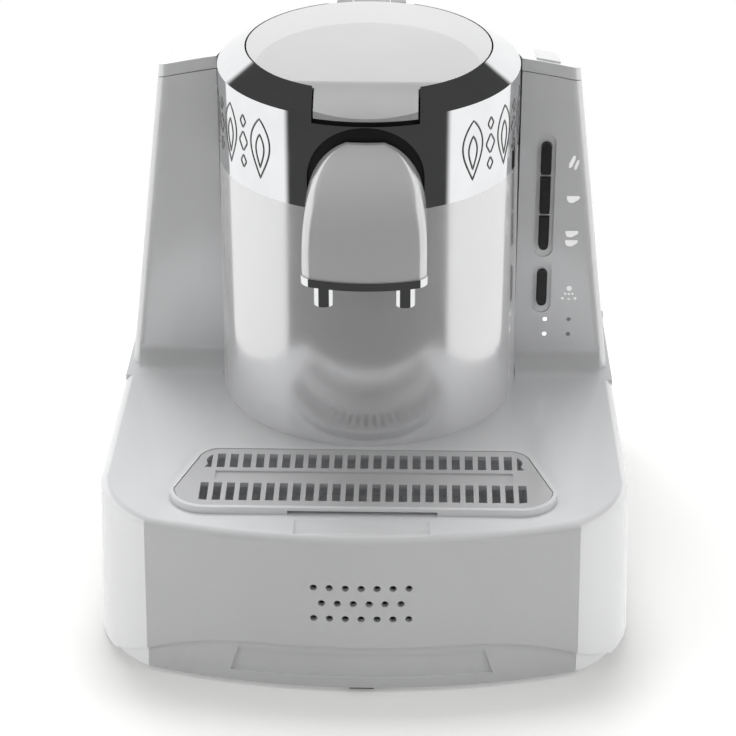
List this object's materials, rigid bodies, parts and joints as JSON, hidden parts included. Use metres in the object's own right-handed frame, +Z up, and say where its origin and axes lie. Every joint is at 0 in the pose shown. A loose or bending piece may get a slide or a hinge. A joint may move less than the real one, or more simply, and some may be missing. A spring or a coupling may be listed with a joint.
{
  "type": "electric turkish coffee maker",
  "caption": "Electric Turkish coffee maker with a round brewing tower, hinged lid, pouring nose, push buttons, lift-out water tank and slotted drip tray.",
  "frame": {"origin": "middle of the overall box at the level of the feet", "axes": "+X to the machine's right as seen from the front, -Y towards the user, +Z up"},
  "size_m": [0.2548, 0.2712, 0.2637],
  "materials": {
    "shell_plastic": "glossy silver",
    "tower_plastic": "glossy silver",
    "chrome": "mirror polished",
    "lid_plastic": "glossy grey silver",
    "nose_plastic": "satin silver",
    "dark_plastic": "matte black",
    "button_plastic": "semi-gloss black",
    "grille_plastic": "glossy silver",
    "rubber": "matte",
    "seal_rubber": "matte silicone",
    "steel": "brushed",
    "pot_metal": "dark non-stick coated",
    "clear_tank": "translucent",
    "lamp_lens": "translucent white",
    "board": "solder mask",
    "hose_rubber": "translucent silicone",
    "brass": "plain"
  },
  "bodies": {
    "chassis": {"base_shell": "shell_plastic", "base_pan": "shell_plastic", "upper_housing": "shell_plastic", "base_screws": "steel", "rubber_feet": "rubber", "front_foot": "rubber", "tower_shell": "tower_plastic", "chrome_band": "chrome", "nose_collar": "dark_plastic", "spout_cover": "nose_plastic", "spout_rim": "chrome", "pour_manifold": "dark_plastic", "pour_nozzles": "chrome", "outlet_duct": "dark_plastic", "brew_chamber": "pot_metal", "head_plate": "dark_plastic", "chamber_seal": "seal_rubber", "heater_plate": "steel", "thermostat": "steel", "valve_body": "brass", "valve_solenoid": "dark_plastic", "valve_spring": "steel", "lid_hinge_brackets": "lid_plastic", "lid_hinge_pin": "steel", "lid_switch": "dark_plastic", "tank_seat": "rubber", "tank_rests": "dark_plastic", "tact_switches": "dark_plastic", "button_board": "board", "indicator_lenses": "lamp_lens", "water_pump": "dark_plastic", "pump_cradles": "rubber", "suction_hose": "hose_rubber", "pressure_hose": "hose_rubber", "control_board": "board", "buzzer": "dark_plastic", "cable_inlet": "rubber"},
    "lid": {"lid_cover": "lid_plastic", "lid_liner": "dark_plastic", "lid_gasket": "seal_rubber"},
    "water_tank": {"tank_body": "clear_tank", "tank_valve": "dark_plastic", "tank_lid_pins": "steel"},
    "tank_cap": {"tank_lid": "shell_plastic", "tank_lid_tab": "grille_plastic"},
    "tray": {"drip_tray": "shell_plastic"},
    "grille": {"drip_grille": "grille_plastic"},
    "power_key": {"power_button": "button_plastic"},
    "one_cup_key": {"one_cup_button": "button_plastic"},
    "two_cup_key": {"two_cup_button": "button_plastic"},
    "rinse_key": {"rinse_button": "button_plastic"},
    "plunger": {"valve_plunger": "steel"}
  },
  "joints": [
    {"name": "lid_hinge", "type": "hinge", "parent": "chassis", "child": "lid", "pos_m": [0, 0.0845, 0.259], "axis": [-1, 0, 0], "range_deg": [0, 80]},
    {"name": "tank_lift", "type": "slide", "parent": "chassis", "child": "water_tank", "axis": [0, 0, 1], "range_m": [0, 0.2]},
    {"name": "tank_lid_hinge", "type": "hinge", "parent": "water_tank", "child": "tank_cap", "pos_m": [0, 0.1324, 0.189], "axis": [-1, 0, 0], "range_deg": [0, 75]},
    {"name": "tray_lift", "type": "slide", "parent": "chassis", "child": "tray", "axis": [0, 0, 1], "range_m": [0, 0.06]},
    {"name": "grille_lift", "type": "slide", "parent": "tray", "child": "grille", "axis": [0, 0, 1], "range_m": [0, 0.02]},
    {"name": "power_press", "type": "slide", "parent": "chassis", "child": "power_key", "axis": [0, 1, 0], "range_m": [0, 0.0012], "stiffness_N_per_m": 900, "springref_m": -0.0015},
    {"name": "one_cup_press", "type": "slide", "parent": "chassis", "child": "one_cup_key", "axis": [0, 1, 0], "range_m": [0, 0.0012], "stiffness_N_per_m": 900, "springref_m": -0.0015},
    {"name": "two_cup_press", "type": "slide", "parent": "chassis", "child": "two_cup_key", "axis": [0, 1, 0], "range_m": [0, 0.0012], "stiffness_N_per_m": 900, "springref_m": -0.0015},
    {"name": "rinse_press", "type": "slide", "parent": "chassis", "child": "rinse_key", "axis": [0, 1, 0], "range_m": [0, 0.0012], "stiffness_N_per_m": 900, "springref_m": -0.0015},
    {"name": "valve_open", "type": "slide", "parent": "chassis", "child": "plunger", "axis": [0, 0, -1], "range_m": [0, 0.0035], "stiffness_N_per_m": 300, "springref_m": -0.003, "deforming": ["valve_spring"]}
  ]
}
